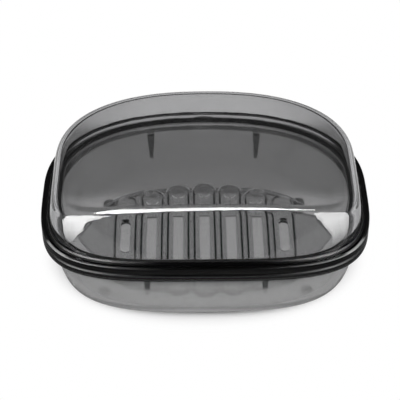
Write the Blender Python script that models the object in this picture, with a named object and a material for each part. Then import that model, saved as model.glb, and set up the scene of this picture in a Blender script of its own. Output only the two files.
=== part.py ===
# Soap box in smoky clear plastic: a bowl-shaped dish on four feet, a slotted drain insert and a domed lid.
# Metres, +Z up. The box stands on z = 0, with +X along its length and its front towards -Y.

import math

import bmesh
import bpy

# Rim, the outline that the dish and the lid share. A power over 2 makes an ellipse squarer.
RIM_LENGTH = 0.126
RIM_DEPTH = 0.0962
RIM_FRONT_POWER = 3.9
RIM_BACK_POWER = 2.35
PARTING_HEIGHT = 0.031
SEAT_GAP = 0.0003
FLANGE_HEIGHT = 0.0032
FLANGE_OVERHANG = 0.0025
FLANGE_ROUND = 0.0005

# Lid
LID_WALL = 0.002
LID_WALL_RISE = 0.0194
LID_CROWN_RISE = 0.002
LID_END_DROP = 0.0025
LID_SHOULDER_RADIUS = 0.006
LID_END_SLOPE = 0.19
LID_FACE_SLOPE = 0.43
LID_TOP_FRONT_POWER = 7.5
LID_TOP_BACK_POWER = 2.5
CROWN_EDGE_TILT = math.radians(8)
NOTCH_WIDTH = 0.0095
NOTCH_HEIGHT = 0.001
NOTCH_DEPTH = 0.0018

# Dish
DISH_WALL = 0.0018
LIP_CLEARANCE = 0.0003
LIP_THICKNESS = 0.0014
LIP_HEIGHT = 0.003
FLOOR_LENGTH = 0.1048
FLOOR_DEPTH = 0.0708
FLOOR_POWER = 3.2
BOWL_POWER = 2.45
FOOT_RADIUS = 0.0024
FOOT_HEIGHT = 0.0016
FOOT_SPACING_X = 0.080
FOOT_SPACING_Y = 0.052
RIB_SPACING = 0.044
RIB_TOP_WIDTH = 0.0028
RIB_FOOT_WIDTH = 0.0015
RIB_TOP_DEPTH = 0.0012
RIB_FOOT_DEPTH = 0.0004
RIB_HEIGHT = 0.0125

# Drain insert
INSERT_END_GAP = 0.0004
INSERT_SIDE_GAP = 0.0081
INSERT_THICKNESS = 0.0022
INSERT_EDGE_POWER = 4.0
LEG_HEIGHT = 0.0012
LEG_RADIUS = 0.0011
LEG_SPACING_Y = 0.04
CHANNEL_COUNT = 7
CHANNEL_PITCH = 0.0108
CHANNEL_WIDTH = 0.0083
CHANNEL_DEPTH = 0.001
CHANNEL_EDGE_LAND = 0.0012
SLOT_WIDTH = 0.004
SLOT_BACK_REACH = 0.014
SLOT_FRONT_REACH = 0.0152
SLOT_BACK_TAPER = 0.0676
SLOT_FRONT_TAPER = 0.0485
SLOT_CORNER = 0.0005
DIMPLE_COUNT = 5
DIMPLE_RADIUS = 0.00265
DIMPLE_DEPTH = 0.0005
DIMPLE_ROW_DEPTH = 0.0558
DIMPLE_ROW_SAG = 0.004
SCALLOP_RADIUS = 0.0049

OVERRUN = 0.002

# Facets
AROUND = 80
BOWL_STEPS = 7
WALL_STEPS = 3
SHOULDER_STEPS = 5
CROWN_STEPS = 5
RIB_STEPS = 4
ROUND_STEPS = 16
EDGE_STEPS = 48
ARC_STEPS = 8

SMOKE = (0.13, 0.13, 0.135, 1.0)
DEEP_SMOKE = (0.09, 0.09, 0.095, 1.0)

# Places that follow from the sizes
rim_powers = (RIM_FRONT_POWER, RIM_BACK_POWER)
dish_flange_top = PARTING_HEIGHT - SEAT_GAP / 2
dish_flange_bottom = dish_flange_top - FLANGE_HEIGHT
lid_bottom = PARTING_HEIGHT + SEAT_GAP / 2
lid_wall_foot = lid_bottom + FLANGE_HEIGHT
floor_underside = FOOT_HEIGHT
floor_top = floor_underside + DISH_WALL
lip_outer_inset = FLANGE_OVERHANG + LID_WALL + LIP_CLEARANCE
bowl_inner_inset = lip_outer_inset + LIP_THICKNESS
bowl_outer_inset = bowl_inner_inset - DISH_WALL
insert_bottom = floor_top + SEAT_GAP + LEG_HEIGHT
insert_top = insert_bottom + INSERT_THICKNESS
channel_floor = insert_top - CHANNEL_DEPTH


def mix(start, end, share):
    return start + (end - start) * share


def clear_scene():
    for obj in list(bpy.data.objects):
        bpy.data.objects.remove(obj)


def clear_plastic(name, colour):
    material = bpy.data.materials.new(name)
    material.use_nodes = True
    shader = material.node_tree.nodes["Principled BSDF"]
    shader.inputs["Base Color"].default_value = colour
    shader.inputs["Metallic"].default_value = 0.0
    shader.inputs["Roughness"].default_value = 0.06
    shader.inputs["Transmission Weight"].default_value = 0.7
    return material


def make_object(name, bm, material=None):
    """An object from a closed mesh. Without a material it is a cutter or a piece to join."""
    bmesh.ops.recalc_face_normals(bm, faces=bm.faces[:])
    mesh = bpy.data.meshes.new(name)
    bm.to_mesh(mesh)
    bm.free()
    obj = bpy.data.objects.new(name, mesh)
    bpy.context.scene.collection.objects.link(obj)
    if material is None:
        obj.hide_render = True
        obj.display_type = "WIRE"
    else:
        mesh.materials.append(material)
        mesh.shade_smooth()
        mesh.set_sharp_from_angle(angle=math.radians(35))
    return obj


def combine(obj, other, operation):
    modifier = obj.modifiers.new(other.name, "BOOLEAN")
    modifier.operation = operation
    modifier.solver = "EXACT"
    modifier.object = other


def loft(bm, loops):
    """Joins loops of points one after another and caps both ends. A loop of one point is a pole."""
    rows = [[bm.verts.new(point) for point in loop] for loop in loops]
    for low, high in zip(rows, rows[1:]):
        count = max(len(low), len(high))
        for i in range(count):
            following = (i + 1) % count
            if len(low) == 1:
                bm.faces.new((low[0], high[following], high[i]))
            elif len(high) == 1:
                bm.faces.new((low[i], low[following], high[0]))
            else:
                bm.faces.new((low[i], low[following], high[following], high[i]))
    for end in (rows[0], rows[-1]):
        if len(end) > 1:
            bm.faces.new(end)


def plan_loop(half_length, half_depth, powers, z):
    """A closed loop at one height, squarer at the front or the back as the two powers say."""
    loop = []
    for i in range(AROUND):
        angle = math.tau * i / AROUND
        cos, sin = math.cos(angle), math.sin(angle)
        power = powers[0] if sin < 0 else powers[1]
        reach = (abs(cos) ** power + abs(sin) ** power) ** (-1 / power)
        loop.append((half_length * cos * reach, half_depth * sin * reach, z))
    return loop


def rim_loop(inset, z):
    return plan_loop(RIM_LENGTH / 2 - inset, RIM_DEPTH / 2 - inset, rim_powers, z)


def extrude_outline(bm, outline, low, high):
    loft(bm, [[(x, y, low) for x, y in outline], [(x, y, high) for x, y in outline]])


def add_disc(bm, x, y, radius, low, high):
    angles = [math.tau * i / ROUND_STEPS for i in range(ROUND_STEPS)]
    outline = [(x + radius * math.cos(a), y + radius * math.sin(a)) for a in angles]
    extrude_outline(bm, outline, low, high)


def bowl_plan(z, inside):
    """Half length, half depth and powers of the bowl wall's outer or inner face at a height."""
    inset = bowl_inner_inset if inside else bowl_outer_inset
    foot = floor_top if inside else floor_underside
    floor_inset = DISH_WALL / 2 if inside else 0
    share = min(max((z - foot) / (dish_flange_bottom - foot), 0), 1)
    reach = (1 - (1 - share) ** BOWL_POWER) ** (1 / BOWL_POWER)
    half_length = mix(FLOOR_LENGTH / 2 - floor_inset, RIM_LENGTH / 2 - inset, reach)
    half_depth = mix(FLOOR_DEPTH / 2 - floor_inset, RIM_DEPTH / 2 - inset, reach)
    powers = [mix(FLOOR_POWER, power, share) for power in rim_powers]
    return half_length, half_depth, powers


def bowl_loops(inside):
    foot = floor_top if inside else floor_underside
    loops = []
    for i in range(BOWL_STEPS + 1):
        angle = math.pi / 2 * i / BOWL_STEPS
        share = 1 - math.cos(angle) ** (2 / BOWL_POWER)
        z = mix(foot, dish_flange_bottom, share)
        loops.append(plan_loop(*bowl_plan(z, inside), z))
    return loops


def bowl_face_y(x, z, side):
    """Where the bowl's inner face stands at a place along the box: side is -1 at the front, 1 at the back."""
    half_length, half_depth, powers = bowl_plan(z, True)
    power = powers[0] if side < 0 else powers[1]
    return side * half_depth * (1 - (abs(x) / half_length) ** power) ** (1 / power)


def add_rib(bm, x, side):
    """A tapered stiffening rib on the bowl's inner face, from the flange down."""
    loops = []
    for i in range(RIB_STEPS + 1):
        share = i / RIB_STEPS
        z = dish_flange_bottom - RIB_HEIGHT * share
        half_width = mix(RIB_TOP_WIDTH, RIB_FOOT_WIDTH, share) / 2
        face = bowl_face_y(x, z, side)
        root = face + side * DISH_WALL / 2
        crest = face - side * mix(RIB_TOP_DEPTH, RIB_FOOT_DEPTH, share)
        corners = ((-half_width, root), (half_width, root), (half_width, crest), (-half_width, crest))
        loops.append([(x + across, y, z) for across, y in corners])
    loft(bm, loops)


def make_dish():
    bm = bmesh.new()
    inner = bowl_loops(True)
    outer = bowl_loops(False)
    flange = [
        rim_loop(bowl_inner_inset, dish_flange_top + LIP_HEIGHT),
        rim_loop(lip_outer_inset, dish_flange_top + LIP_HEIGHT),
        rim_loop(lip_outer_inset, dish_flange_top),
        rim_loop(FLANGE_ROUND, dish_flange_top),
        rim_loop(0, dish_flange_top - FLANGE_ROUND),
        rim_loop(0, dish_flange_bottom + FLANGE_ROUND),
        rim_loop(FLANGE_ROUND, dish_flange_bottom),
    ]
    loft(bm, [[(0, 0, floor_top)], *inner, *flange, *reversed(outer), [(0, 0, floor_underside)]])
    dish = make_object("dish", bm, clear_plastic("dish_plastic", SMOKE))

    bm = bmesh.new()
    for x in (-RIB_SPACING / 2, RIB_SPACING / 2):
        for side in (-1, 1):
            add_rib(bm, x, side)
    combine(dish, make_object("dish_ribs", bm), "UNION")

    bm = bmesh.new()
    for x in (-FOOT_SPACING_X / 2, FOOT_SPACING_X / 2):
        for y in (-FOOT_SPACING_Y / 2, FOOT_SPACING_Y / 2):
            add_disc(bm, x, y, FOOT_RADIUS, 0, floor_underside + DISH_WALL / 2)
    combine(dish, make_object("dish_feet", bm), "UNION")
    return dish


def lid_half_size(rise, half_foot, slope, radius, top):
    """Half size of a lid face at a rise above the wall's foot: a sloping wall, then a round shoulder."""
    tilt = math.atan(slope)
    centre_rise = top - radius * math.cos(CROWN_EDGE_TILT)
    turn_rise = centre_rise + radius * math.sin(tilt)
    if rise < turn_rise:
        return half_foot - slope * rise
    centre = half_foot - slope * turn_rise - radius * math.cos(tilt)
    return centre + math.sqrt(max(radius**2 - (rise - centre_rise) ** 2, 0))


def drop_ends(loop, drop, half_length):
    """Bends a loop so that it falls by the drop from its middle to the two ends."""
    return [(x, y, z - drop * (x / half_length) ** 2) for x, y, z in loop]


def lid_loops(inset):
    """The lid's outer face, or its inner face at an inset of one wall, from the wall's foot up."""
    top = LID_WALL_RISE - inset
    radius = LID_SHOULDER_RADIUS - inset
    half_length = RIM_LENGTH / 2 - FLANGE_OVERHANG - inset
    half_depth = RIM_DEPTH / 2 - FLANGE_OVERHANG - inset
    edge = math.pi / 2 - CROWN_EDGE_TILT
    centre_rise = top - radius * math.sin(edge)
    rises = [centre_rise * i / WALL_STEPS for i in range(WALL_STEPS)]
    rises += [centre_rise + radius * math.sin(edge * i / SHOULDER_STEPS) for i in range(SHOULDER_STEPS + 1)]
    loops = []
    for rise in rises:
        share = rise / top
        powers = (
            mix(RIM_FRONT_POWER, LID_TOP_FRONT_POWER, share),
            mix(RIM_BACK_POWER, LID_TOP_BACK_POWER, share),
        )
        length = lid_half_size(rise, half_length, LID_END_SLOPE, radius, top)
        depth = lid_half_size(rise, half_depth, LID_FACE_SLOPE, radius, top)
        loop = plan_loop(length, depth, powers, lid_wall_foot + rise)
        loops.append(drop_ends(loop, LID_END_DROP * share, length))
    for i in range(1, CROWN_STEPS):
        share = 1 - i / CROWN_STEPS
        z = lid_wall_foot + top + LID_CROWN_RISE * (1 - share**2)
        loop = plan_loop(length * share, depth * share, powers, z)
        loops.append(drop_ends(loop, LID_END_DROP, length))
    loops.append([(0, 0, lid_wall_foot + top + LID_CROWN_RISE)])
    return loops


def make_lid():
    bm = bmesh.new()
    wall_inset = FLANGE_OVERHANG + LID_WALL
    flange = [
        rim_loop(wall_inset, lid_bottom),
        rim_loop(FLANGE_ROUND, lid_bottom),
        rim_loop(0, lid_bottom + FLANGE_ROUND),
        rim_loop(0, lid_wall_foot - FLANGE_ROUND),
        rim_loop(FLANGE_ROUND, lid_wall_foot),
    ]
    loft(bm, [*reversed(lid_loops(LID_WALL)), *flange, *lid_loops(0)])
    lid = make_object("lid", bm, clear_plastic("lid_plastic", SMOKE))

    # A shallow finger notch under the flange at the back, where the lid is lifted.
    bm = bmesh.new()
    arc = [math.pi * i / ARC_STEPS for i in range(ARC_STEPS + 1)]
    lens = [(NOTCH_WIDTH / 2 * math.cos(a), lid_bottom + NOTCH_HEIGHT * math.sin(a)) for a in arc]
    lens = [(NOTCH_WIDTH / 2, lid_bottom - OVERRUN), *lens, (-NOTCH_WIDTH / 2, lid_bottom - OVERRUN)]
    back = RIM_DEPTH / 2
    loft(bm, [[(x, y, z) for x, z in lens] for y in (back - NOTCH_DEPTH, back + OVERRUN)])
    combine(lid, make_object("finger_notch", bm), "DIFFERENCE")
    return lid


def insert_half_length():
    return bowl_plan(insert_bottom, True)[0] - INSERT_END_GAP


def insert_half_depth():
    return bowl_plan(insert_bottom, True)[1] - INSERT_SIDE_GAP


def leaf_y(x):
    """Half depth of the insert's pointed outline at a place along it."""
    share = min(abs(x) / insert_half_length(), 1)
    return insert_half_depth() * (1 - share**INSERT_EDGE_POWER)


def places(count):
    return [CHANNEL_PITCH * (i - (count - 1) / 2) for i in range(count)]


def dimple_y(x):
    outermost = places(DIMPLE_COUNT)[-1]
    return DIMPLE_ROW_DEPTH / 2 - DIMPLE_ROW_SAG * (x / outermost) ** 2


def insert_edge_y(x):
    """The insert's outline: the pointed leaf, with a scallop round each dimple."""
    edge = leaf_y(x)
    for place in places(DIMPLE_COUNT):
        if abs(x - place) < SCALLOP_RADIUS:
            edge = max(edge, dimple_y(place) + math.sqrt(SCALLOP_RADIUS**2 - (x - place) ** 2))
    return edge


def insert_outline():
    half = insert_half_length()
    along = [half * math.cos(math.pi * i / EDGE_STEPS) for i in range(EDGE_STEPS + 1)]
    back = [(x, insert_edge_y(x)) for x in along]
    front = [(x, -y) for x, y in reversed(back[1:-1])]
    return back + front


def stadium(x, front_y, back_y, half_width, corner):
    """A long outline across the box with rounded ends or corners."""
    outline = []
    for quarter in range(4):
        across = x + (half_width - corner) * (1 if quarter in (0, 3) else -1)
        along = back_y - corner if quarter in (0, 1) else front_y + corner
        for i in range(ARC_STEPS + 1):
            angle = math.pi / 2 * (quarter + i / ARC_STEPS)
            outline.append((across + corner * math.cos(angle), along + corner * math.sin(angle)))
    return tidy_outline(outline)


def tidy_outline(outline):
    """Leaves out points that repeat the one before them."""
    apart = SLOT_CORNER / ROUND_STEPS
    return [point for i, point in enumerate(outline) if math.dist(point, outline[i - 1]) > apart]


def channel_half_length(x):
    """To the round end of a channel, which follows its dimple or stays inside the outline."""
    half_width = CHANNEL_WIDTH / 2
    if abs(x) <= places(DIMPLE_COUNT)[-1] + half_width:
        return dimple_y(x) + half_width
    edge = min(leaf_y(x), leaf_y(abs(x) + half_width) + half_width)
    return edge - CHANNEL_EDGE_LAND


def slot_reach(x, middle_reach, taper):
    """How far a slot reaches to the front or the back, less for the outer slots."""
    return middle_reach * (1 - (x / taper) ** 2)


def make_insert():
    bm = bmesh.new()
    extrude_outline(bm, insert_outline(), insert_bottom, insert_top)
    insert = make_object("drain_insert", bm, clear_plastic("insert_plastic", DEEP_SMOKE))

    bm = bmesh.new()
    for x in places(CHANNEL_COUNT):
        half_length = channel_half_length(x)
        outline = stadium(x, -half_length, half_length, CHANNEL_WIDTH / 2, CHANNEL_WIDTH / 2)
        extrude_outline(bm, outline, channel_floor, insert_top + OVERRUN)
    combine(insert, make_object("drain_channels", bm), "DIFFERENCE")

    bm = bmesh.new()
    outer_place = places(CHANNEL_COUNT)[-1]
    for x in places(CHANNEL_COUNT):
        corner = SLOT_WIDTH / 2 if abs(x) == outer_place else SLOT_CORNER
        front_y = -slot_reach(x, SLOT_FRONT_REACH, SLOT_FRONT_TAPER)
        back_y = slot_reach(x, SLOT_BACK_REACH, SLOT_BACK_TAPER)
        outline = stadium(x, front_y, back_y, SLOT_WIDTH / 2, corner)
        extrude_outline(bm, outline, insert_bottom - OVERRUN, insert_top + OVERRUN)
    combine(insert, make_object("drain_slots", bm), "DIFFERENCE")

    bm = bmesh.new()
    dimple_floor = channel_floor - DIMPLE_DEPTH
    for x in places(DIMPLE_COUNT):
        for y in (-dimple_y(x), dimple_y(x)):
            add_disc(bm, x, y, DIMPLE_RADIUS, dimple_floor, insert_top + OVERRUN)
    combine(insert, make_object("dimples", bm), "DIFFERENCE")

    # The legs stand under the lands between the outer two channels of each side.
    bm = bmesh.new()
    leg_x = outer_place - CHANNEL_PITCH / 2
    for x in (-leg_x, leg_x):
        for y in (-LEG_SPACING_Y / 2, LEG_SPACING_Y / 2):
            add_disc(bm, x, y, LEG_RADIUS, insert_bottom - LEG_HEIGHT, insert_bottom + INSERT_THICKNESS / 2)
    combine(insert, make_object("insert_legs", bm), "UNION")
    return insert


def main():
    clear_scene()
    make_dish()
    make_insert()
    make_lid()


main()
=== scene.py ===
import math

import bmesh
import bpy
import numpy as np
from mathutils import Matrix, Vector


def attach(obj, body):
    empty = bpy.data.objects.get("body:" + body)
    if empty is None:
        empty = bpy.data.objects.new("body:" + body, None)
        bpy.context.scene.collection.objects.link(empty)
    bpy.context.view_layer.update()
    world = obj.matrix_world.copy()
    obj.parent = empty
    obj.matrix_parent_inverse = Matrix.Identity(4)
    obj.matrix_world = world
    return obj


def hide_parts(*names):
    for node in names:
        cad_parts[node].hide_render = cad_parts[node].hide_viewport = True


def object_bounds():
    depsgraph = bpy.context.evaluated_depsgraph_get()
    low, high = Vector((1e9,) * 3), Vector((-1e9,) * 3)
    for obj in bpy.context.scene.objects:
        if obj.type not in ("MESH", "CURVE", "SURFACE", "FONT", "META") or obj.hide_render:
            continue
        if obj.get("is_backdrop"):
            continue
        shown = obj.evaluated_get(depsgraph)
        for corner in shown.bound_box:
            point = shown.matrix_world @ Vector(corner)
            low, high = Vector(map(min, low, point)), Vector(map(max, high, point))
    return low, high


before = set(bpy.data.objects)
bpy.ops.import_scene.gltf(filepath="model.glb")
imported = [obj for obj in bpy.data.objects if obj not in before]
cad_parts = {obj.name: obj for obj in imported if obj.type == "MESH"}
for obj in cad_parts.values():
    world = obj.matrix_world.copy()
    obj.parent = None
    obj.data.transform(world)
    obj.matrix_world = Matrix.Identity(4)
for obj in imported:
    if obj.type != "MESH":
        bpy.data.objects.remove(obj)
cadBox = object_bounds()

# A closed soap box in smoky clear plastic: dish, drain insert and domed lid. Metres, +Z up, front towards -Y.

aroundCount = 320


class Sock:
    # A node's output, on which plain arithmetic adds Math nodes.
    def __init__(self, tree, socket):
        self.tree = tree
        self.socket = socket

    def maths(self, operation, first, second):
        return self.tree.add("ShaderNodeMath", {"operation": operation}, {0: first, 1: second})

    def __add__(self, other):
        return self.maths("ADD", self, other)

    def __mul__(self, other):
        return self.maths("MULTIPLY", self, other)

    def __sub__(self, other):
        return self.maths("SUBTRACT", self, other)

    def __rsub__(self, other):
        return self.maths("SUBTRACT", other, self)

    def minimum(self, other):
        return self.maths("MINIMUM", self, other)

    def maximum(self, other):
        return self.maths("MAXIMUM", self, other)

    def __truediv__(self, other):
        return self.maths("DIVIDE", self, other)

    def __rtruediv__(self, other):
        return self.maths("DIVIDE", other, self)

    def __pow__(self, other):
        return self.maths("POWER", self, other)

    def __abs__(self):
        return self.tree.add("ShaderNodeMath", {"operation": "ABSOLUTE"}, {0: self})

    def __round__(self):
        return self.tree.add("ShaderNodeMath", {"operation": "ROUND"}, {0: self})

    __radd__ = __add__
    __rmul__ = __mul__

    def ramp(self, start, end, low=0.0, high=1.0):
        # Goes softly from low to high while this value goes from start to end.
        values = {0: self, 1: start, 2: end, 3: low, 4: high}
        return self.tree.add("ShaderNodeMapRange", {"interpolation_type": "SMOOTHSTEP"}, values)


class Tree:
    # A material's or the world's nodes.
    def __init__(self, owner):
        owner.use_nodes = True
        self.nodes = owner.node_tree.nodes
        self.links = owner.node_tree.links
        self.nodes.clear()

    def add(self, kind, settings=None, values=None, output=0):
        node = self.nodes.new(kind)
        for name, value in (settings or {}).items():
            setattr(node, name, value)
        for key, value in (values or {}).items():
            socket = node.inputs[key]
            if isinstance(value, Sock):
                self.links.new(value.socket, socket)
            else:
                socket.default_value = value
        return Sock(self, node.outputs[output]) if node.outputs else None


# Outlines and profiles

def blend(start, end, share):
    return start + (end - start) * share


angles = np.arange(aroundCount) * math.tau / aroundCount


def planLoop(halfLength, halfDepth, powers, z):
    # A closed outline, squarer at the front or the back as its two powers say.
    cos, sin = np.cos(angles), np.sin(angles)
    power = np.where(sin < 0, powers[0], powers[1])
    reach = (np.abs(cos) ** power + np.abs(sin) ** power) ** (-1 / power)
    return np.stack([halfLength * cos * reach, halfDepth * sin * reach, np.full(aroundCount, z)], 1)


def roundedProfile(corners, steps=5):
    # Corners are (inset, z, radius). Each is rounded, with a support point on both sides.
    points = []
    for i, (inset, z, radius) in enumerate(corners):
        here = Vector((inset, z))
        if radius == 0 or i in (0, len(corners) - 1):
            points.append(here)
            continue
        before = (Vector(corners[i - 1][:2]) - here).normalized()
        after = (Vector(corners[i + 1][:2]) - here).normalized()
        halfAngle = before.angle(after) / 2
        back = radius / math.tan(halfAngle)
        centre = here + (before + after).normalized() * (radius / math.sin(halfAngle))
        start = here + before * back - centre
        end = here + after * back - centre
        support = radius * 0.15
        points.append(here + before * (back + support))
        for step in range(steps + 1):
            points.append(centre + start.normalized().slerp(end.normalized(), step / steps) * radius)
        points.append(here + after * (back + support))
    return [(p.x, p.y) for p in points]


def loftMesh(name, loops):
    # Loops are arrays of points, one after another round the shell. A loop of one point is a pole.
    points = []
    starts = []
    for loop in loops:
        starts.append(len(points))
        points.extend(map(tuple, np.atleast_2d(loop)))
    faces = []
    for (a, low), (b, high) in zip(zip(starts, loops), zip(starts[1:], loops[1:])):
        lowPole, highPole = len(np.atleast_2d(low)) == 1, len(np.atleast_2d(high)) == 1
        for i in range(aroundCount):
            j = (i + 1) % aroundCount
            if lowPole:
                faces.append((a, b + j, b + i))
            elif highPole:
                faces.append((a + i, a + j, b))
            else:
                faces.append((a + i, a + j, b + j, b + i))
    mesh = bpy.data.meshes.new(name)
    mesh.from_pydata(points, [], faces)
    return mesh


def closeAndSmooth(mesh, sharpAngle=32):
    bm = bmesh.new()
    bm.from_mesh(mesh)
    bmesh.ops.remove_doubles(bm, verts=bm.verts, dist=2e-6)
    bmesh.ops.recalc_face_normals(bm, faces=bm.faces)
    bm.to_mesh(mesh)
    bm.free()
    mesh.shade_smooth()
    mesh.set_sharp_from_angle(angle=math.radians(sharpAngle))


def addObject(name, mesh):
    obj = bpy.data.objects.new(name, mesh)
    bpy.context.scene.collection.objects.link(obj)
    return obj


def applied(obj, modifiers):
    # Adds modifiers, each a (type, settings) pair, and gives the mesh that they make.
    for kind, settings in modifiers:
        modifier = obj.modifiers.new(kind.lower(), kind)
        for name, value in settings.items():
            setattr(modifier, name, value)
    bpy.context.view_layer.update()
    mesh = bpy.data.meshes.new_from_object(obj.evaluated_get(bpy.context.evaluated_depsgraph_get()))
    obj.modifiers.clear()
    obj.data = mesh
    return obj


def booleaned(obj, cutter, operation):
    applied(obj, [("BOOLEAN", {"operation": operation, "solver": "EXACT", "object": cutter})])
    bpy.data.objects.remove(cutter)


def prism(name, layers):
    # A closed solid through outlines of alike point counts, each with its height.
    bm = bmesh.new()
    rows = [[bm.verts.new((x, y, z)) for x, y in outline] for outline, z in layers]
    for low, high in zip(rows, rows[1:]):
        for i in range(len(low)):
            j = (i + 1) % len(low)
            bm.faces.new((low[i], low[j], high[j], high[i]))
    bm.faces.new(rows[0])
    bm.faces.new(rows[-1])
    bmesh.ops.recalc_face_normals(bm, faces=bm.faces)
    mesh = bpy.data.meshes.new(name)
    bm.to_mesh(mesh)
    bm.free()
    return addObject(name, mesh)


def circle(x, y, radius, count):
    turns = [math.tau * i / count for i in range(count)]
    return [(x + radius * math.cos(a), y + radius * math.sin(a)) for a in turns]


# Rim, which the dish and the lid share

rim = {
    "halfLength": 0.063,
    "halfDepth": 0.0481,
    "powers": (3.9, 2.35),
    "parting": 0.031,
    "seatGap": 0.0003,
    "flangeHeight": 0.0032,
    "overhang": 0.0025,
    "edgeRound": 0.0005,
    "footRound": 0.0009,
}


def rimLoop(inset, z):
    return planLoop(rim["halfLength"] - inset, rim["halfDepth"] - inset, rim["powers"], z)


dishFlangeTop = rim["parting"] - rim["seatGap"] / 2
dishFlangeFoot = dishFlangeTop - rim["flangeHeight"]
lidFoot = rim["parting"] + rim["seatGap"] / 2
lidWallFoot = lidFoot + rim["flangeHeight"]


# Lid

lidSizes = {
    "wall": 0.002,
    "rise": 0.0194,
    "crown": 0.002,
    "endDrop": 0.0025,
    "shoulder": 0.006,
    "endSlope": 0.19,
    "faceSlope": 0.43,
    "topPowers": (7.5, 2.5),
    "crownEdgeTilt": math.radians(8),
    "notchWidth": 0.0095,
    "notchHeight": 0.001,
    "notchDepth": 0.0018,
    "wallLoops": 14,
    "shoulderLoops": 16,
    "crownLoops": 14,
}


def lidHalfSize(rise, halfFoot, slope, radius, top):
    tilt = math.atan(slope)
    centreRise = top - radius * math.cos(lidSizes["crownEdgeTilt"])
    turnRise = centreRise + radius * math.sin(tilt)
    if rise < turnRise:
        return halfFoot - slope * rise
    centre = halfFoot - slope * turnRise - radius * math.cos(tilt)
    return centre + math.sqrt(max(radius**2 - (rise - centreRise) ** 2, 0))


def lidLoops(inset):
    # One face of the lid from the wall's foot to the middle of the top, which falls towards both ends.
    top = lidSizes["rise"] - inset
    radius = lidSizes["shoulder"] - inset
    halfLength = rim["halfLength"] - rim["overhang"] - inset
    halfDepth = rim["halfDepth"] - rim["overhang"] - inset
    edge = math.pi / 2 - lidSizes["crownEdgeTilt"]
    centreRise = top - radius * math.sin(edge)
    footRound = rim["footRound"] if inset == 0 else 0

    def dropped(loop, rise, length, share):
        loop[:, 2] = lidWallFoot + rise - lidSizes["endDrop"] * share * (loop[:, 0] / length) ** 2
        return loop

    rises = []
    if footRound:
        rises += [footRound * (1 - math.cos(math.pi / 2 * i / 5)) for i in range(6)]
    wallLoops, shoulderLoops = lidSizes["wallLoops"], lidSizes["shoulderLoops"]
    first = 1 if footRound else 0
    rises += [blend(footRound, centreRise, i / wallLoops) for i in range(first, wallLoops)]
    rises += [centreRise + radius * math.sin(edge * i / shoulderLoops) for i in range(shoulderLoops + 1)]
    loops = []
    for rise in rises:
        share = rise / top
        powers = [blend(foot, end, share) for foot, end in zip(rim["powers"], lidSizes["topPowers"])]
        flare = 0
        if rise < footRound:
            flare = footRound - math.sqrt(footRound**2 - (footRound - rise) ** 2)
        length = lidHalfSize(rise, halfLength, lidSizes["endSlope"], radius, top) + flare
        depth = lidHalfSize(rise, halfDepth, lidSizes["faceSlope"], radius, top) + flare
        loops.append(dropped(planLoop(length, depth, powers, 0), rise, length, share))
    for i in range(1, lidSizes["crownLoops"]):
        share = 1 - i / lidSizes["crownLoops"]
        rise = top + lidSizes["crown"] * (1 - share**2)
        loops.append(dropped(planLoop(length * share, depth * share, powers, 0), rise, length, 1))
    loops.append(np.array([[0, 0, lidWallFoot + top + lidSizes["crown"]]]))
    return loops


def makeLid():
    wallInset = rim["overhang"] + lidSizes["wall"]
    profile = roundedProfile([
        (wallInset, lidWallFoot - rim["edgeRound"], 0),
        (wallInset, lidFoot, rim["edgeRound"] * 0.6),
        (0, lidFoot, rim["edgeRound"]),
        (0, lidWallFoot, rim["edgeRound"]),
        (rim["overhang"] - rim["footRound"] * 1.05, lidWallFoot, 0),
    ])
    flange = [rimLoop(inset, z) for inset, z in profile]
    mesh = loftMesh("lidShell", [*reversed(lidLoops(lidSizes["wall"])), *flange, *lidLoops(0)])
    lid = addObject("lidShell", mesh)

    # The shallow finger notch under the flange at the back.
    bm = bmesh.new()
    arc = [math.pi * i / 24 for i in range(25)]
    half = lidSizes["notchWidth"] / 2
    lens = [(half * math.cos(a), lidFoot + lidSizes["notchHeight"] * math.sin(a)) for a in arc]
    lens = [(half, lidFoot - 0.002), *lens, (-half, lidFoot - 0.002)]
    rows = []
    for y in (rim["halfDepth"] - lidSizes["notchDepth"], rim["halfDepth"] + 0.002):
        rows.append([bm.verts.new((x, y, z)) for x, z in lens])
    for i in range(len(lens)):
        j = (i + 1) % len(lens)
        bm.faces.new((rows[0][i], rows[0][j], rows[1][j], rows[1][i]))
    for row in rows:
        bm.faces.new(row)
    bmesh.ops.recalc_face_normals(bm, faces=bm.faces)
    cutterMesh = bpy.data.meshes.new("notchCutter")
    bm.to_mesh(cutterMesh)
    bm.free()
    closeAndSmooth(lid.data)
    booleaned(lid, addObject("notchCutter", cutterMesh), "DIFFERENCE")
    closeAndSmooth(lid.data)
    return lid


# Dish

dishSizes = {
    "wall": 0.0018,
    "lipClearance": 0.0003,
    "lipThickness": 0.0014,
    "lipHeight": 0.003,
    "floorHalfLength": 0.0524,
    "floorHalfDepth": 0.0354,
    "floorPower": 3.2,
    "bowlPower": 2.45,
    "footRadius": 0.0024,
    "footHeight": 0.0016,
    "footEdge": 0.0004,
    "footX": 0.040,
    "footY": 0.026,
    "ribX": 0.022,
    "ribTopWidth": 0.0028,
    "ribFootWidth": 0.0015,
    "ribTopDepth": 0.0012,
    "ribFootDepth": 0.0004,
    "ribHeight": 0.0125,
    "bowlLoops": 30,
    "floorLoops": 5,
}
floorUnder = dishSizes["footHeight"]
floorTop = floorUnder + dishSizes["wall"]
lipOuterInset = rim["overhang"] + lidSizes["wall"] + dishSizes["lipClearance"]
bowlInnerInset = lipOuterInset + dishSizes["lipThickness"]
bowlOuterInset = bowlInnerInset - dishSizes["wall"]


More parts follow.
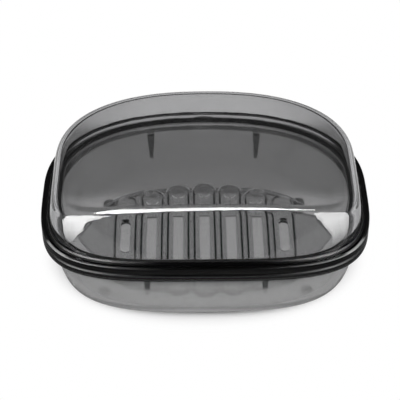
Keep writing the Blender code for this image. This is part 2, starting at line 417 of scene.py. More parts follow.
def bowlPlan(z, inside):
    inset = bowlInnerInset if inside else bowlOuterInset
    foot = floorTop if inside else floorUnder
    floorInset = dishSizes["wall"] / 2 if inside else 0
    share = min(max((z - foot) / (dishFlangeFoot - foot), 0), 1)
    power = dishSizes["bowlPower"]
    reach = (1 - (1 - share) ** power) ** (1 / power)
    halfLength = blend(dishSizes["floorHalfLength"] - floorInset, rim["halfLength"] - inset, reach)
    halfDepth = blend(dishSizes["floorHalfDepth"] - floorInset, rim["halfDepth"] - inset, reach)
    powers = [blend(dishSizes["floorPower"], rimPower, share) for rimPower in rim["powers"]]
    return halfLength, halfDepth, powers


def bowlLoops(inside):
    foot = floorTop if inside else floorUnder
    halfLength, halfDepth, powers = bowlPlan(foot, inside)
    loops = [np.array([[0, 0, foot]])]
    for i in range(1, dishSizes["floorLoops"]):
        share = i / dishSizes["floorLoops"]
        loops.append(planLoop(halfLength * share, halfDepth * share, powers, foot))
    for i in range(dishSizes["bowlLoops"] + 1):
        angle = math.pi / 2 * i / dishSizes["bowlLoops"]
        share = 1 - math.cos(angle) ** (2 / dishSizes["bowlPower"])
        z = blend(foot, dishFlangeFoot, share)
        loops.append(planLoop(*bowlPlan(z, inside), z))
    return loops


def bowlFaceY(x, z, side):
    halfLength, halfDepth, powers = bowlPlan(z, True)
    power = powers[0] if side < 0 else powers[1]
    return side * halfDepth * (1 - (abs(x) / halfLength) ** power) ** (1 / power)


def makeRib(x, side):
    # A tapered rib inside the bowl's wall, with a slightly rounded crest.
    layers = []
    steps = 14
    for i in range(steps + 1):
        share = i / steps
        z = dishFlangeFoot - dishSizes["ribHeight"] * share
        half = blend(dishSizes["ribTopWidth"], dishSizes["ribFootWidth"], share) / 2
        face = bowlFaceY(x, z, side)
        root = face + side * dishSizes["wall"] / 2
        deep = blend(dishSizes["ribTopDepth"], dishSizes["ribFootDepth"], share)
        across = [(-half, root), (-half, face - side * deep * 0.7), (-half * 0.6, face - side * deep)]
        across += [(-w, y) for w, y in reversed(across)]
        layers.append(([(x + w, y) for w, y in across], z))
    return prism("rib", layers)


def makeFoot(x, y):
    # A short round foot with a rounded lower edge.
    radius, edge = dishSizes["footRadius"], dishSizes["footEdge"]
    layers = [(circle(x, y, radius, 40), floorUnder + dishSizes["wall"] / 2)]
    for i in range(6):
        angle = math.pi / 2 * i / 5
        layers.append((circle(x, y, radius - edge * (1 - math.cos(angle)), 40), edge * (1 - math.sin(angle))))
    return prism("foot", layers)


def makeDish():
    lipTop = dishFlangeTop + dishSizes["lipHeight"]
    profile = roundedProfile([
        (bowlInnerInset, dishFlangeFoot + 0.0004, 0),
        (bowlInnerInset, lipTop, 0.0005),
        (lipOuterInset, lipTop, 0.0005),
        (lipOuterInset, dishFlangeTop, 0.0003),
        (0, dishFlangeTop, rim["edgeRound"]),
        (0, dishFlangeFoot, rim["edgeRound"]),
        (bowlOuterInset, dishFlangeFoot, 0),
    ])
    flange = [rimLoop(inset, z) for inset, z in profile[:-1]]
    mesh = loftMesh("dishShell", [*bowlLoops(True), *flange, *reversed(bowlLoops(False))])
    dish = addObject("dishShell", mesh)
    closeAndSmooth(dish.data)
    for x in (-dishSizes["ribX"], dishSizes["ribX"]):
        for side in (-1, 1):
            booleaned(dish, makeRib(x, side), "UNION")
    for x in (-dishSizes["footX"], dishSizes["footX"]):
        for y in (-dishSizes["footY"], dishSizes["footY"]):
            booleaned(dish, makeFoot(x, y), "UNION")
    closeAndSmooth(dish.data)
    return dish


# Drain insert

insertSizes = {
    "endGap": 0.0004,
    "sideGap": 0.0081,
    "thickness": 0.0022,
    "edgePower": 4.0,
    "legHeight": 0.0012,
    "legRadius": 0.0011,
    "legX": 0.027,
    "legY": 0.020,
    "skirt": 0.0008,
    "channelCount": 7,
    "pitch": 0.0108,
    "channelWidth": 0.0083,
    "channelDepth": 0.001,
    "channelDraft": 0.0002,
    "edgeLand": 0.0012,
    "slotWidth": 0.004,
    "slotBackReach": 0.014,
    "slotFrontReach": 0.0152,
    "slotBackTaper": 0.0676,
    "slotFrontTaper": 0.0485,
    "slotCorner": 0.0005,
    "dimpleCount": 5,
    "dimpleRadius": 0.00265,
    "dimpleDepth": 0.0005,
    "dimpleRowY": 0.0279,
    "dimpleRowSag": 0.004,
    "scallopRadius": 0.0049,
    "edgeRound": 0.00018,
    "overrun": 0.002,
}
insertFoot = floorTop + rim["seatGap"] + insertSizes["legHeight"]
insertTop = insertFoot + insertSizes["thickness"]
channelFloor = insertTop - insertSizes["channelDepth"]


def places(count):
    return [insertSizes["pitch"] * (i - (count - 1) / 2) for i in range(count)]


def leafY(x):
    half = bowlPlan(insertFoot, True)[0] - insertSizes["endGap"]
    depth = bowlPlan(insertFoot, True)[1] - insertSizes["sideGap"]
    return depth * (1 - min(abs(x) / half, 1) ** insertSizes["edgePower"])


def dimpleY(x):
    outermost = places(insertSizes["dimpleCount"])[-1]
    return insertSizes["dimpleRowY"] - insertSizes["dimpleRowSag"] * (x / outermost) ** 2


def insertEdgeY(x):
    edge = leafY(x)
    radius = insertSizes["scallopRadius"]
    for place in places(insertSizes["dimpleCount"]):
        if abs(x - place) < radius:
            edge = max(edge, dimpleY(place) + math.sqrt(radius**2 - (x - place) ** 2))
    return edge


def stadium(x, frontY, backY, halfWidth, corner, steps=10):
    outline = []
    for quarter in range(4):
        across = x + (halfWidth - corner) * (1 if quarter in (0, 3) else -1)
        along = backY - corner if quarter in (0, 1) else frontY + corner
        for i in range(steps + 1):
            angle = math.pi / 2 * (quarter + i / steps)
            outline.append((across + corner * math.cos(angle), along + corner * math.sin(angle)))
    return [p for i, p in enumerate(outline) if math.dist(p, outline[i - 1]) > 1e-5]


def channelHalfLength(x):
    width = insertSizes["channelWidth"] / 2
    if abs(x) <= places(insertSizes["dimpleCount"])[-1] + width:
        return dimpleY(x) + width
    return min(leafY(x), leafY(abs(x) + width) + width) - insertSizes["edgeLand"]


def makeInsert():
    half = bowlPlan(insertFoot, True)[0] - insertSizes["endGap"]
    along = [half * math.cos(math.pi * i / 160) for i in range(161)]
    back = [(x, insertEdgeY(x)) for x in along]
    outline = back + [(x, -y) for x, y in reversed(back[1:-1])]
    insert = prism("insertPlate", [(outline, insertFoot), (outline, insertTop)])

    # The underside is hollow, so that the plate is one thin sheet with upright steps and a short skirt.
    skirt = insertSizes["skirt"]
    inner = [(x * (1 - skirt / half), y - math.copysign(skirt, y)) for x, y in outline if abs(y) > skirt * 2]
    hollow = prism("hollow", [(inner, insertFoot - skirt), (inner, insertFoot + insertSizes["channelDepth"])])
    width, draft = insertSizes["channelWidth"] / 2, insertSizes["channelDraft"]
    overrun = insertSizes["overrun"]
    for x in places(insertSizes["channelCount"]):
        reach = channelHalfLength(x) + skirt
        wide = width + skirt
        bulk = stadium(x, -reach, reach, wide, wide)
        layers = [(bulk, insertFoot - overrun), (bulk, insertTop + overrun)]
        booleaned(hollow, prism("bulk", layers), "DIFFERENCE")
    booleaned(insert, hollow, "DIFFERENCE")

    for x in places(insertSizes["channelCount"]):
        length = channelHalfLength(x)
        grow = draft / insertSizes["channelDepth"] * overrun
        low = stadium(x, draft - length, length - draft, width - draft, width - draft)
        high = stadium(x, -length - grow, length + grow, width + grow, width + grow)
        booleaned(insert, prism("channel", [(low, channelFloor), (high, insertTop + overrun)]), "DIFFERENCE")
    outerPlace = places(insertSizes["channelCount"])[-1]
    for x in places(insertSizes["channelCount"]):
        corner = insertSizes["slotWidth"] / 2 if abs(x) == outerPlace else insertSizes["slotCorner"]
        frontY = -insertSizes["slotFrontReach"] * (1 - (x / insertSizes["slotFrontTaper"]) ** 2)
        backY = insertSizes["slotBackReach"] * (1 - (x / insertSizes["slotBackTaper"]) ** 2)
        slot = stadium(x, frontY, backY, insertSizes["slotWidth"] / 2, corner)
        layers = [(slot, insertFoot - overrun), (slot, insertTop + overrun)]
        booleaned(insert, prism("slot", layers), "DIFFERENCE")
    for x in places(insertSizes["dimpleCount"]):
        for y in (-dimpleY(x), dimpleY(x)):
            booleaned(insert, makeDimple(x, y), "DIFFERENCE")
    legFoot = insertFoot - insertSizes["legHeight"]
    legTop = insertFoot + insertSizes["thickness"] / 2
    for x in (-insertSizes["legX"], insertSizes["legX"]):
        for y in (-insertSizes["legY"], insertSizes["legY"]):
            ring = circle(x, y, insertSizes["legRadius"], 32)
            booleaned(insert, prism("leg", [(ring, legFoot), (ring, legTop)]), "UNION")
    closeAndSmooth(insert.data)
    return insert


def makeDimple(x, y):
    # The cap of a ball, so that the dimple has a round bottom.
    radius, deep = insertSizes["dimpleRadius"], insertSizes["dimpleDepth"]
    ball = (radius**2 + deep**2) / (2 * deep)
    centreZ = channelFloor - deep + ball
    steps = 8
    layers = []
    widest = math.asin(radius / ball)
    for i in range(1, steps + 1):
        angle = widest * i / steps
        layers.append((circle(x, y, ball * math.sin(angle), 36), centreZ - ball * math.cos(angle)))
    layers.append((layers[-1][0], insertTop + insertSizes["overrun"]))
    return prism("dimple", layers)


# Materials

smokeTint = (0.10, 0.10, 0.12)
# For each piece, the pale layer is painted highlight and sheen, and the outline is painted shade where the crown
# is seen edge-on.
plastics = {
    "lid": {
        "slot": "lid_plastic",
        "density": 150.0,
        "base": 0.97,
        "clear": 1.0,
        "pass": 0.8,
        "paintedPale": 0.3,
        "outline": 0.7,
    },
    "dish": {
        "slot": "dish_plastic",
        "density": 60.0,
        "base": 0.73,
        "clear": 0.74,
        "pass": 0.45,
        "paintedPale": 0.18,
        "outline": 0.2,
    },
    "insert": {
        "slot": "insert_plastic",
        "density": 225.0,
        "base": 0.95,
        "clear": 1.0,
        "pass": 0.9,
        "paintedPale": 0.95,
        "outline": 0.0,
    },
}

# In these, a rise is counted from the height that the code names, and an inset from the rim's outline inwards.
shading = {
    "edgeSoft": 0.0002,
    "fineSoft": 0.0001,
    "rimDark": 0.02,
    "backY": (0.008, 0.020),
    "backX": (0.050, 0.057),
    "edgeOnShadeFacing": (0.52, 0.88),
    "edgeOnShadeZ": (0.042, 0.046),
    "index": 1.55,
    "polish": 0.01,
    "cloudScale": 45.0,
    "cloudTone": 0.03,
    "cloudRough": 0.02,
    "scuffScale": 900.0,
    "scuffRough": 0.02,
    "bump": 0.06,
    "bumpDistance": 0.0008,
    "rimRough": 0.45,
    "dullHeight": 0.0005,
    "dullInset": (-0.001, 0.0006),
    "wallFootRise": (-0.0001, 0.0008),
    "wallFootInset": (0.0014, 0.0030),
    "veilColour": 0.9,
}
# Where each piece's painted shade and painted highlights lie.
lidMarks = {
    "frontY": (-0.020, -0.035),
    "frontX": (0.036, 0.050),
    "ledgeInset": (0.0010, 0.0023),
    "ledgePale": 0.15,
    "faceRise": (0.0006, 0.0019),
    "facePale": 0.08,
    "thinTop": 0.0005,
    "thinFoot": 0.0004,
    "thinInset": (0.0006, 0.0012),
    "footLineRise": (0.0001, 0.0006),
    "footLineInset": (0.0018, 0.0021),
    "footLineY": (-0.030, -0.040),
    "backEndsX": (0.015, 0.055),
    "backEndsY": (-0.005, 0.015),
    "darkening": 0.13,
    "glintHeight": 0.0004,
    "glintInset": (-0.001, 0.0005),
    "glintX": (0.050, 0.053),
    "glintStartY": (-0.031, -0.034),
    "glintEndY": (-0.043, -0.040),
}
dishMarks = {
    "lowPaleRise": (0.0008, 0.0012),
    "lowPale": 0.14,
    "highPaleRise": (-0.0010, -0.0006),
    "highPale": 0.06,
    "thinHeight": 0.0004,
    "thinInset": (0.0006, 0.0012),
    "lipEdgeRise": (-0.0018, -0.0015),
    "lipEdgeInset": (-0.0009, -0.0007),
    "lipGapY": (-0.020, -0.030),
    "lipGapX": (0.020, 0.032),
    "ribDark": 0.25,
    "ribY": (0.030, 0.032),
    "ribFrontY": (0.001, -0.001),
    "ribFrontRise": (0.003, 0.005),
    "frontY": (-0.010, -0.030),
    "collarRise": (-0.007, -0.001),
    "collarDark": 0.88,
    "strakeZ": (0.0045, 0.0075),
    "strakeSoft": 0.002,
    "strakeDark": 0.4,
    "footDark": 0.01,
    "veilRise": (0.0003, 0.0007),
    "veilInset": (-0.0006, -0.0002),
    "veilY": (-0.030, -0.038),
    "veilX": (0.024, 0.034),
}
insertMarks = {
    "lineDark": 0.02,
    "lineHalfWidth": 0.00025,
    "lineEnd": (-0.001, 0.0005),
    "lineFarthest": 0.001,
    "arcShare": 0.92,
    "arcHalfWidth": (0.00022, 0.00045),
    "arcSide": (-0.0004, -0.0010),
    "arcGap": (0.0002, 0.0007),
    "brimHalfWidth": (0.0001, 0.0003),
    "brimPale": 0.5,
    "behind": (0, 0.001),
    "rowEnd": (0.003, 0.004),
    "faceRise": (0.0006, 0.0008),
}


def parts(tree, vector):
    # A vector's three parts.
    axes = tree.add("ShaderNodeSeparateXYZ", {}, {0: vector})
    return [Sock(tree, axes.socket.node.outputs[i]) for i in range(3)]


def between(value, low, high, soft):
    # 1 while the value is between low and high, and 0 outside.
    return value.ramp(low - soft, low) * value.ramp(high, high + soft, 1.0, 0.0)


def planInset(x, y, inset):
    # How far a point is inside the rim's outline at an inset, roughly in metres and negative outside.
    halfLength, halfDepth = rim["halfLength"] - inset, rim["halfDepth"] - inset
    power = y.ramp(-0.001, 0.001, *rim["powers"])
    reach = abs(x / halfLength) ** power + abs(y / halfDepth) ** power
    return (1 - reach ** (1.0 / power)) * halfDepth


def atBack(x, y):
    # 1 along the back, where the rim is seen from inside and its painted shade is only a few thin lines.
    return y.ramp(*shading["backY"]) * abs(x).ramp(*shading["backX"], 1.0, 0.0)


def nearestChannel(x):
    # The middle line of the channel at x, and how far from the middle its dimples lie.
    place = round(x / insertSizes["pitch"]) * insertSizes["pitch"]
    outermost = places(insertSizes["dimpleCount"])[-1]
    sag = insertSizes["dimpleRowSag"] / outermost**2
    return place, insertSizes["dimpleRowY"] - place * place * sag


def lidShade(x, y, z):
    # Painted shade: a dark flange with paler lines along the middle of the front. The ends at the back are darker
    # too.
    marks, soft = lidMarks, shading["edgeSoft"]
    deep = planInset(x, y, 0)
    ledge = between(deep, *marks["ledgeInset"], soft) * z.ramp(lidWallFoot - soft, lidWallFoot)
    pale = ledge * marks["ledgePale"] + between(z - lidFoot, *marks["faceRise"], soft) * marks["facePale"]
    pale = pale * y.ramp(*marks["frontY"]) * abs(x).ramp(*marks["frontX"], 1.0, 0.0)
    flange = between(z, lidFoot - soft, lidWallFoot + soft, soft) * (1 - pale)
    thin = between(z, lidWallFoot - marks["thinTop"], lidWallFoot, soft)
    thin = thin.maximum(between(z, lidFoot, lidFoot + marks["thinFoot"], soft))
    thin = thin * deep.ramp(*marks["thinInset"], 1.0, 0.0)
    dark = blend(flange, thin, atBack(x, y))
    footLine = between(z - lidWallFoot, *marks["footLineRise"], shading["fineSoft"])
    footLine = footLine * deep.ramp(*marks["footLineInset"]) * y.ramp(*marks["footLineY"])
    darkening = abs(x).ramp(*marks["backEndsX"]) * y.ramp(*marks["backEndsY"]) * marks["darkening"]
    return (dark.maximum(footLine) * (1 - shading["rimDark"])).maximum(darkening)


def lidPaintedGlint(x, y, z):
    # Painted glint: the flange's upper edge is pale round the two front corners.
    marks, fine = lidMarks, shading["fineSoft"]
    glint = between(planInset(x, y, 0), *marks["glintInset"], fine)
    glint = glint * between(z, lidWallFoot - marks["glintHeight"], lidWallFoot, fine)
    return glint * abs(x).ramp(*marks["glintX"]) * y.ramp(*marks["glintStartY"]) * y.ramp(*marks["glintEndY"])


def dishShade(x, y, z):
    # Painted shade: a dark flange and lip edge, dark ribs and feet, and a dark band above and below the wall in
    # front.
    marks, soft = dishMarks, shading["edgeSoft"]
    pale = between(z - dishFlangeFoot, *marks["lowPaleRise"], soft) * marks["lowPale"]
    pale = pale + between(z - dishFlangeTop, *marks["highPaleRise"], soft) * marks["highPale"]
    flange = between(z, dishFlangeFoot, dishFlangeTop + soft, soft) * (1 - pale)
    thin = between(z, dishFlangeFoot, dishFlangeFoot + marks["thinHeight"], soft)
    thin = thin * planInset(x, y, 0).ramp(*marks["thinInset"], 1.0, 0.0)
    lipEdge = (z - dishFlangeTop - dishSizes["lipHeight"]).ramp(*marks["lipEdgeRise"])
    lipEdge = lipEdge * planInset(x, y, bowlInnerInset).ramp(*marks["lipEdgeInset"])
    lipEdge = lipEdge * (1 - y.ramp(*marks["lipGapY"]) * abs(x).ramp(*marks["lipGapX"], 1.0, 0.0))
    rimPart = blend(flange, thin, atBack(x, y)).maximum(lipEdge) * (1 - shading["rimDark"])

    ribFoot = dishFlangeFoot - dishSizes["ribHeight"]
    halfWidth = z.ramp(ribFoot, dishFlangeFoot, dishSizes["ribFootWidth"] / 2, dishSizes["ribTopWidth"] / 2)
    across = abs(abs(x) - dishSizes["ribX"]) - halfWidth
    ribPart = across.ramp(-soft, soft, 1.0, 0.0) * between(z, ribFoot, dishFlangeFoot, soft)
    ribPart = ribPart * abs(y).ramp(*marks["ribY"]) * (1 - marks["ribDark"])
    upper = (z - ribFoot).ramp(*marks["ribFrontRise"], 1.0, 0.0)
    ribPart = ribPart * (1 - y.ramp(*marks["ribFrontY"]) * upper)

    # Painted shade just under the flange in front, and a band of painted shade low on the front wall.
    inFront = y.ramp(*marks["frontY"])
    collar = (z - dishFlangeFoot).ramp(*marks["collarRise"])
    collar = collar * z.ramp(dishFlangeFoot, dishFlangeFoot + soft, 1.0, 0.0)
    collar = collar * inFront * marks["collarDark"]
    strake = between(z, *marks["strakeZ"], marks["strakeSoft"]) * inFront * marks["strakeDark"]
    footPart = z.ramp(floorUnder - soft, floorUnder - 2 * soft) * (1 - marks["footDark"])
    return rimPart.maximum(ribPart).maximum(collar).maximum(strake).maximum(footPart)


def dishPaintedSheen(x, y, z):
    # Painted sheen: the upright lip is pale along the middle of the front.
    marks = dishMarks
    lip = (z - dishFlangeTop).ramp(*marks["veilRise"])
    lip = lip * planInset(x, y, lipOuterInset).ramp(*marks["veilInset"])
    return lip * y.ramp(*marks["veilY"]) * abs(x).ramp(*marks["veilX"], 1.0, 0.0)


def insertShade(x, y, z):
    # Painted shade: the upright sides of the channels are dark lines, up to their round ends.
    marks = insertMarks
    place, reach = nearestChannel(x)
    side = abs(abs(x - place) - insertSizes["channelWidth"] / 2)
    line = side.ramp(marks["lineHalfWidth"], marks["lineHalfWidth"] + shading["edgeSoft"], 1.0, 0.0)
    inside = (abs(y) - reach).ramp(*marks["lineEnd"], 1.0, 0.0)
    farthest = insertSizes["pitch"] * insertSizes["channelCount"] / 2
    inside = inside * abs(x).ramp(farthest, farthest + marks["lineFarthest"], 1.0, 0.0)
    return line * inside * (1 - marks["lineDark"])


def insertPaintedHighlights(x, y, z):
    # Painted highlights: in the back row, a pale arc in front on each dimple's edge and a fainter one behind on
    # its brim.
    marks = insertMarks
    place, row = nearestChannel(x)
    across = x - place
    along = abs(y) - row
    far = (across * across + along * along) ** 0.5
    arc = abs(far - insertSizes["dimpleRadius"] * marks["arcShare"]).ramp(*marks["arcHalfWidth"], 1.0, 0.0)
    arc = arc * (y - row).ramp(*marks["arcSide"]) * abs(across).ramp(*marks["arcGap"])
    brim = abs(far - insertSizes["scallopRadius"]).ramp(*marks["brimHalfWidth"], 1.0, 0.0)
    brim = brim * along.ramp(*marks["behind"]) * marks["brimPale"]
    outermost = places(insertSizes["dimpleCount"])[-1]
    inRow = y.ramp(*marks["behind"]) * (abs(x) - outermost).ramp(*marks["rowEnd"], 1.0, 0.0)
    return arc.maximum(brim) * inRow * (z - insertFoot).ramp(*marks["faceRise"])


def dullEdges(x, y, z):
    # 1 on the flanges' upper edges and at the foot of the lid's wall, which are less polished.
    soft, fine = shading["edgeSoft"], shading["fineSoft"]
    deep = planInset(x, y, 0)
    upper = between(z, lidWallFoot - shading["dullHeight"], lidWallFoot, fine)
    upper = upper.maximum(between(z, dishFlangeTop - shading["dullHeight"], dishFlangeTop, fine))
    upper = upper * between(deep, *shading["dullInset"], soft)
    wallFoot = between(z - lidWallFoot, *shading["wallFootRise"], soft)
    return upper.maximum(wallFoot * between(deep, *shading["wallFootInset"], soft))


def clearPlastic(name, look, shade, paintedPale):
    material = bpy.data.materials.new(name)
    tree = Tree(material)
    place = tree.add("ShaderNodeTexCoord", output=3)
    x, y, z = parts(tree, place)
    cloudLook = {"Vector": place, "Scale": shading["cloudScale"], "Detail": 3.0, "Roughness": 0.55}
    scuffLook = {"Vector": place, "Scale": shading["scuffScale"], "Detail": 2.0, "Roughness": 0.6}
    cloud = tree.add("ShaderNodeTexNoise", {}, cloudLook)
    scuff = tree.add("ShaderNodeTexNoise", {}, scuffLook)
    # Painted shade: the colour darkens high on the lid where it is seen edge-on, and also by each piece's shade
    # marks.
    facing = tree.add("ShaderNodeLayerWeight", {}, {"Blend": 0.5}, "Facing")
    outline = facing.ramp(*shading["edgeOnShadeFacing"]) * z.ramp(*shading["edgeOnShadeZ"]) * look["outline"]
    level = (look["base"] - cloud * shading["cloudTone"]) * (1 - shade(x, y, z)).maximum(0.0) * (1 - outline)
    roughness = shading["polish"] + cloud * shading["cloudRough"] + scuff * shading["scuffRough"]
    roughness = roughness + dullEdges(x, y, z) * shading["rimRough"]
    shader = tree.add("ShaderNodeBsdfPrincipled", {}, {
        "Base Color": tree.add("ShaderNodeCombineColor", {}, {0: level, 1: level, 2: level}),
        "Roughness": roughness,
        "IOR": shading["index"],
        "Transmission Weight": look["clear"],
        "Normal": tree.add("ShaderNodeBump", {}, {
            "Height": cloud,
            "Strength": shading["bump"],
            "Distance": shading["bumpDistance"],
        }),
    })
    # Painted highlights and sheen: a pale diffuse layer mixed in where each piece's marks say.
    veil = tree.add("ShaderNodeBsdfDiffuse", {}, {"Color": (*[shading["veilColour"]] * 3, 1)})
    shader = tree.add("ShaderNodeMixShader", {}, {0: paintedPale(x, y, z) * look["paintedPale"], 1: shader, 2: veil})

    # Lamps shine through evenly, for a soft and pale shadow.
    passing = tree.add("ShaderNodeBsdfTransparent", {}, {"Color": (*[look["pass"]] * 3, 1)})
    lampRay = tree.add("ShaderNodeLightPath", output=1)
    surface = tree.add("ShaderNodeMixShader", {}, {0: lampRay, 1: shader, 2: passing})
    darkening = {"Color": (*smokeTint, 1), "Density": look["density"]}
    volume = tree.add("ShaderNodeVolumeAbsorption", {}, darkening)
    tree.add("ShaderNodeOutputMaterial", {}, {"Surface": surface, "Volume": volume})
    return material


# Stage

stage = {
    "floorHalf": 6.0,
    "floorColour": 0.93,
    "footReach": (0.052, 0.036),
    "footFade": (0.95, 1.30),
    "footClearance": 0.0001,
    "throughShare": 0.88,
    "shadowBehindLevel": 0.41,
    "shadowBehindY": (0.028, 0.038, 0.078, 0.090),
    "glossLevel": 0.12,
    "glossY": (0.045, 0.0),
    "roomLevel": 0.25,
    "roomGloss": 0.07,
    "shellDepth": (2.2, 2.8),
}


def addPlane(name, points):
    mesh = bpy.data.meshes.new(name)
    mesh.from_pydata(points, [], [tuple(range(len(points)))])
    plane = addObject(name, mesh)
    plane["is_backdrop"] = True
    return plane


def makeFloor():
    half = stage["floorHalf"]
    low = -stage["footClearance"]
    floor = addPlane("floor", [(-half, -half, low), (half, -half, low), (half, half, low), (-half, half, low)])
    material = bpy.data.materials.new("palePaper")
    tree = Tree(material)
    level = stage["floorColour"]
    paper = tree.add("ShaderNodeBsdfDiffuse", {}, {"Color": (level, level, level, 1)})
    camera = tree.add("ShaderNodeLightPath", output=0)
    through = tree.add("ShaderNodeLightPath", output=6)
    mirrored = tree.add("ShaderNodeLightPath", output=3) * (1 - through)

    # The glow is white to the camera. Seen through the box it is duller behind the box, a painted shadow, and
    # mirrored it is duller.
    place = tree.add("ShaderNodeTexCoord", output=3)
    y = parts(tree, place)[1]
    rise, full, fall, end = stage["shadowBehindY"]
    behind = y.ramp(rise, full) * y.ramp(fall, end, 1.0, 0.0)
    dull = y.ramp(*stage["glossY"]) * (1 - stage["glossLevel"])
    strength = 1 - mirrored * dull - through * behind * (1 - stage["shadowBehindLevel"])
    glow = tree.add("ShaderNodeEmission", {}, {"Color": strength, "Strength": 1.0})

    # Plain paper near the box, for its shadow, and the glow away from it and in what shows through it.
    scale = (1 / stage["footReach"][0], 1 / stage["footReach"][1], 1)
    shift = tree.add("ShaderNodeVectorMath", {"operation": "MULTIPLY"}, {0: place, 1: scale})
    clearOfFoot = tree.add("ShaderNodeVectorMath", {"operation": "LENGTH"}, {0: shift}, 1).ramp(*stage["footFade"])
    share = clearOfFoot * (camera + mirrored) + through * stage["throughShare"]
    surface = tree.add("ShaderNodeMixShader", {}, {0: share.minimum(1.0), 1: paper, 2: glow})
    tree.add("ShaderNodeOutputMaterial", {}, {"Surface": surface})
    floor.data.materials.append(material)


overhead = {"azimuth": 5, "elevation": 62, "distance": 0.95, "size": (0.38, 0.55), "level": 13.0}

# Reflector cards, which show only in the gloss of the outermost shell. Each has the point of the lid that its
# reach is counted from, and the share of x by which that point follows along the lid.
cards = {
    "topCard": {
        "level": 22.0,
        "fade": (0.0, 0.1),
        "centre": (0.0, -0.041, 0.049),
        "follow": 0.2,
        "reach": (0.003, 0.0045),
        "points": [
            (-0.30, -0.28, 0.86), (-0.16, -0.42, 0.80), (0.00, -0.38, 0.82), (0.16, -0.20, 0.90),
            (0.32, -0.08, 0.94), (0.05, 0.00, 0.95), (-0.16, 0.10, 0.95),
        ],
    },
    "leftCard": {
        "level": 14.0,
        "fade": (0.004, 0.050),
        "centre": (-0.045, -0.043, 0.042),
        "follow": 0.0,
        "reach": (0.008, 0.010),
        "points": [
            (-0.09, -0.244, 0.280), (-0.09, -0.224, 0.205), (-0.09, -0.227, 0.140), (-0.09, -0.187, 0.085),
            (-0.09, -0.164, 0.059), (-0.09, -0.139, 0.044), (-0.09, -0.118, 0.035), (-0.09, -0.094, 0.028),
            (-0.09, -0.078, 0.020), (-0.09, -0.050, 0.008), (-0.09, -0.048, 0.034), (-0.09, -0.056, 0.046),
            (-0.09, -0.062, 0.088), (-0.09, -0.090, 0.120), (-0.09, -0.104, 0.160), (-0.09, -0.140, 0.196),
            (-0.09, -0.183, 0.240),
        ],
    },
    "rightCard": {
        "level": 10.0,
        "fade": (0.004, 0.050),
        "centre": (0.045, -0.043, 0.042),
        "follow": 0.0,
        "reach": (0.008, 0.010),
        "points": [
            (0.09, -0.128, 0.208), (0.09, -0.165, 0.150), (0.09, -0.204, 0.078), (0.09, -0.175, 0.054),
            (0.09, -0.150, 0.044), (0.09, -0.118, 0.034), (0.09, -0.098, 0.024), (0.09, -0.085, 0.006),
            (0.09, -0.048, 0.006), (0.09, -0.048, 0.040), (0.09, -0.052, 0.075), (0.09, -0.063, 0.102),
            (0.09, -0.078, 0.142), (0.09, -0.100, 0.182),
        ],
    },
}


def aim(azimuth, elevation):
    # Azimuth 0 is the front, and positive turns towards +X.
    azimuth, elevation = math.radians(azimuth), math.radians(elevation)
    level = math.cos(elevation)
    return Vector((math.sin(azimuth) * level, -math.cos(azimuth) * level, math.sin(elevation)))


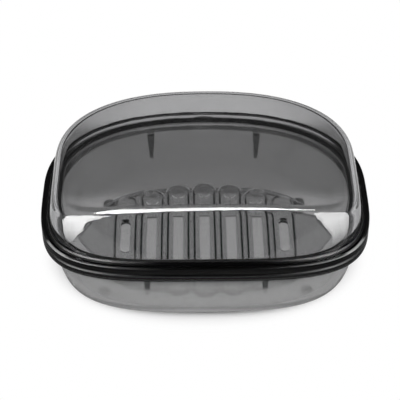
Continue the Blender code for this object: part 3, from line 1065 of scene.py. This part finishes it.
def makeLamps():
    data = bpy.data.lights.new("overhead", "AREA")
    data.shape = "RECTANGLE"
    data.size, data.size_y = overhead["size"]
    data.energy = overhead["level"] * math.pi * data.size * data.size_y
    lamp = addObject("overhead", data)
    way = aim(overhead["azimuth"], overhead["elevation"])
    lamp.location = Vector((0, 0, rim["parting"])) + way * overhead["distance"]
    lamp.rotation_euler = way.to_track_quat("Z", "Y").to_euler()
    lamp.visible_glossy = False
    lamp.visible_transmission = False
    for name, card in cards.items():
        plane = addPlane(name, card["points"])
        material = bpy.data.materials.new(name)
        tree = Tree(material)
        shells = tree.add("ShaderNodeLightPath", output=13)
        position = tree.add("ShaderNodeTexCoord", output=3)
        place = parts(tree, position)
        mirrored = 1 - tree.add("ShaderNodeLightPath", output=6)

        # A short reach, so that the card lights its own part of the lid and little behind it.
        length = tree.add("ShaderNodeLightPath", output="Ray Length")
        x, y, z = card["centre"]
        centre = tree.add("ShaderNodeCombineXYZ", {}, {0: place[0] * card["follow"] + x, 1: y, 2: z})
        apart = {"operation": "DISTANCE"}
        own = tree.add("ShaderNodeVectorMath", apart, {0: position, 1: centre}, 1)
        near = abs(length - own).ramp(*card["reach"], 1.0, 0.0)
        outermost = shells.ramp(*stage["shellDepth"], 1.0, 0.0)
        share = outermost * place[2].ramp(*card["fade"]) * mirrored * near
        glow = tree.add("ShaderNodeEmission", {}, {"Color": share, "Strength": card["level"]})
        tree.add("ShaderNodeOutputMaterial", {}, {"Surface": glow})
        plane.data.materials.append(material)
        plane.visible_camera = False
        plane.visible_diffuse = False
        plane.visible_transmission = False
        plane.visible_shadow = False


def makeWorld():
    world = bpy.data.worlds.new("studio")
    bpy.context.scene.world = world
    tree = Tree(world)
    glossy = tree.add("ShaderNodeLightPath", output=3)
    level = stage["roomLevel"] - glossy * (stage["roomLevel"] - stage["roomGloss"])
    shader = tree.add("ShaderNodeBackground", {}, {"Color": level, "Strength": 1.0})
    tree.add("ShaderNodeOutputWorld", {}, {"Surface": shader})


cameraSetup = {
    "azimuth": -0.73,
    "elevation": 40,
    "distance": 0.52,
    "focalPixels": 1322.7,
    "pictureWidth": 400,
    "centrePixel": (204.83, 190.88),
}


def makeCamera():
    data = bpy.data.cameras.new("camera")
    width = cameraSetup["pictureWidth"]
    data.sensor_width = 36
    data.lens = cameraSetup["focalPixels"] * data.sensor_width / width
    data.shift_x = (width / 2 - cameraSetup["centrePixel"][0]) / width
    data.shift_y = (cameraSetup["centrePixel"][1] - width / 2) / width
    camera = addObject("camera", data)
    way = aim(cameraSetup["azimuth"], cameraSetup["elevation"])
    camera.location = Vector((0, 0, rim["parting"])) + way * cameraSetup["distance"]
    camera.rotation_euler = way.to_track_quat("Z", "Y").to_euler()
    bpy.context.scene.camera = camera


makeCamera()
makeFloor()
makeLamps()
makeWorld()
print("stage ready")

lid = makeLid()
dish = makeDish()
insert = makeInsert()
print("shells ready")

for piece, body, node, look, shade, paintedPale in (
    (lid, "lid", "lid", plastics["lid"], lidShade, lidPaintedGlint),
    (dish, "dish", "dish", plastics["dish"], dishShade, dishPaintedSheen),
    (insert, "insert", "drain_insert", plastics["insert"], insertShade, insertPaintedHighlights),
):
    piece.data.materials.clear()
    piece.data.materials.append(clearPlastic(look["slot"] + "_look", look, shade, paintedPale))
    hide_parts(node)
    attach(piece, body)
    look["slot"]
print("pieces placed")

bpy.context.scene.view_settings.view_transform = "Standard"

{"cad": [list(map(float, corner)) for corner in cadBox], "visual": [list(map(float, corner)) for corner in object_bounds()]}
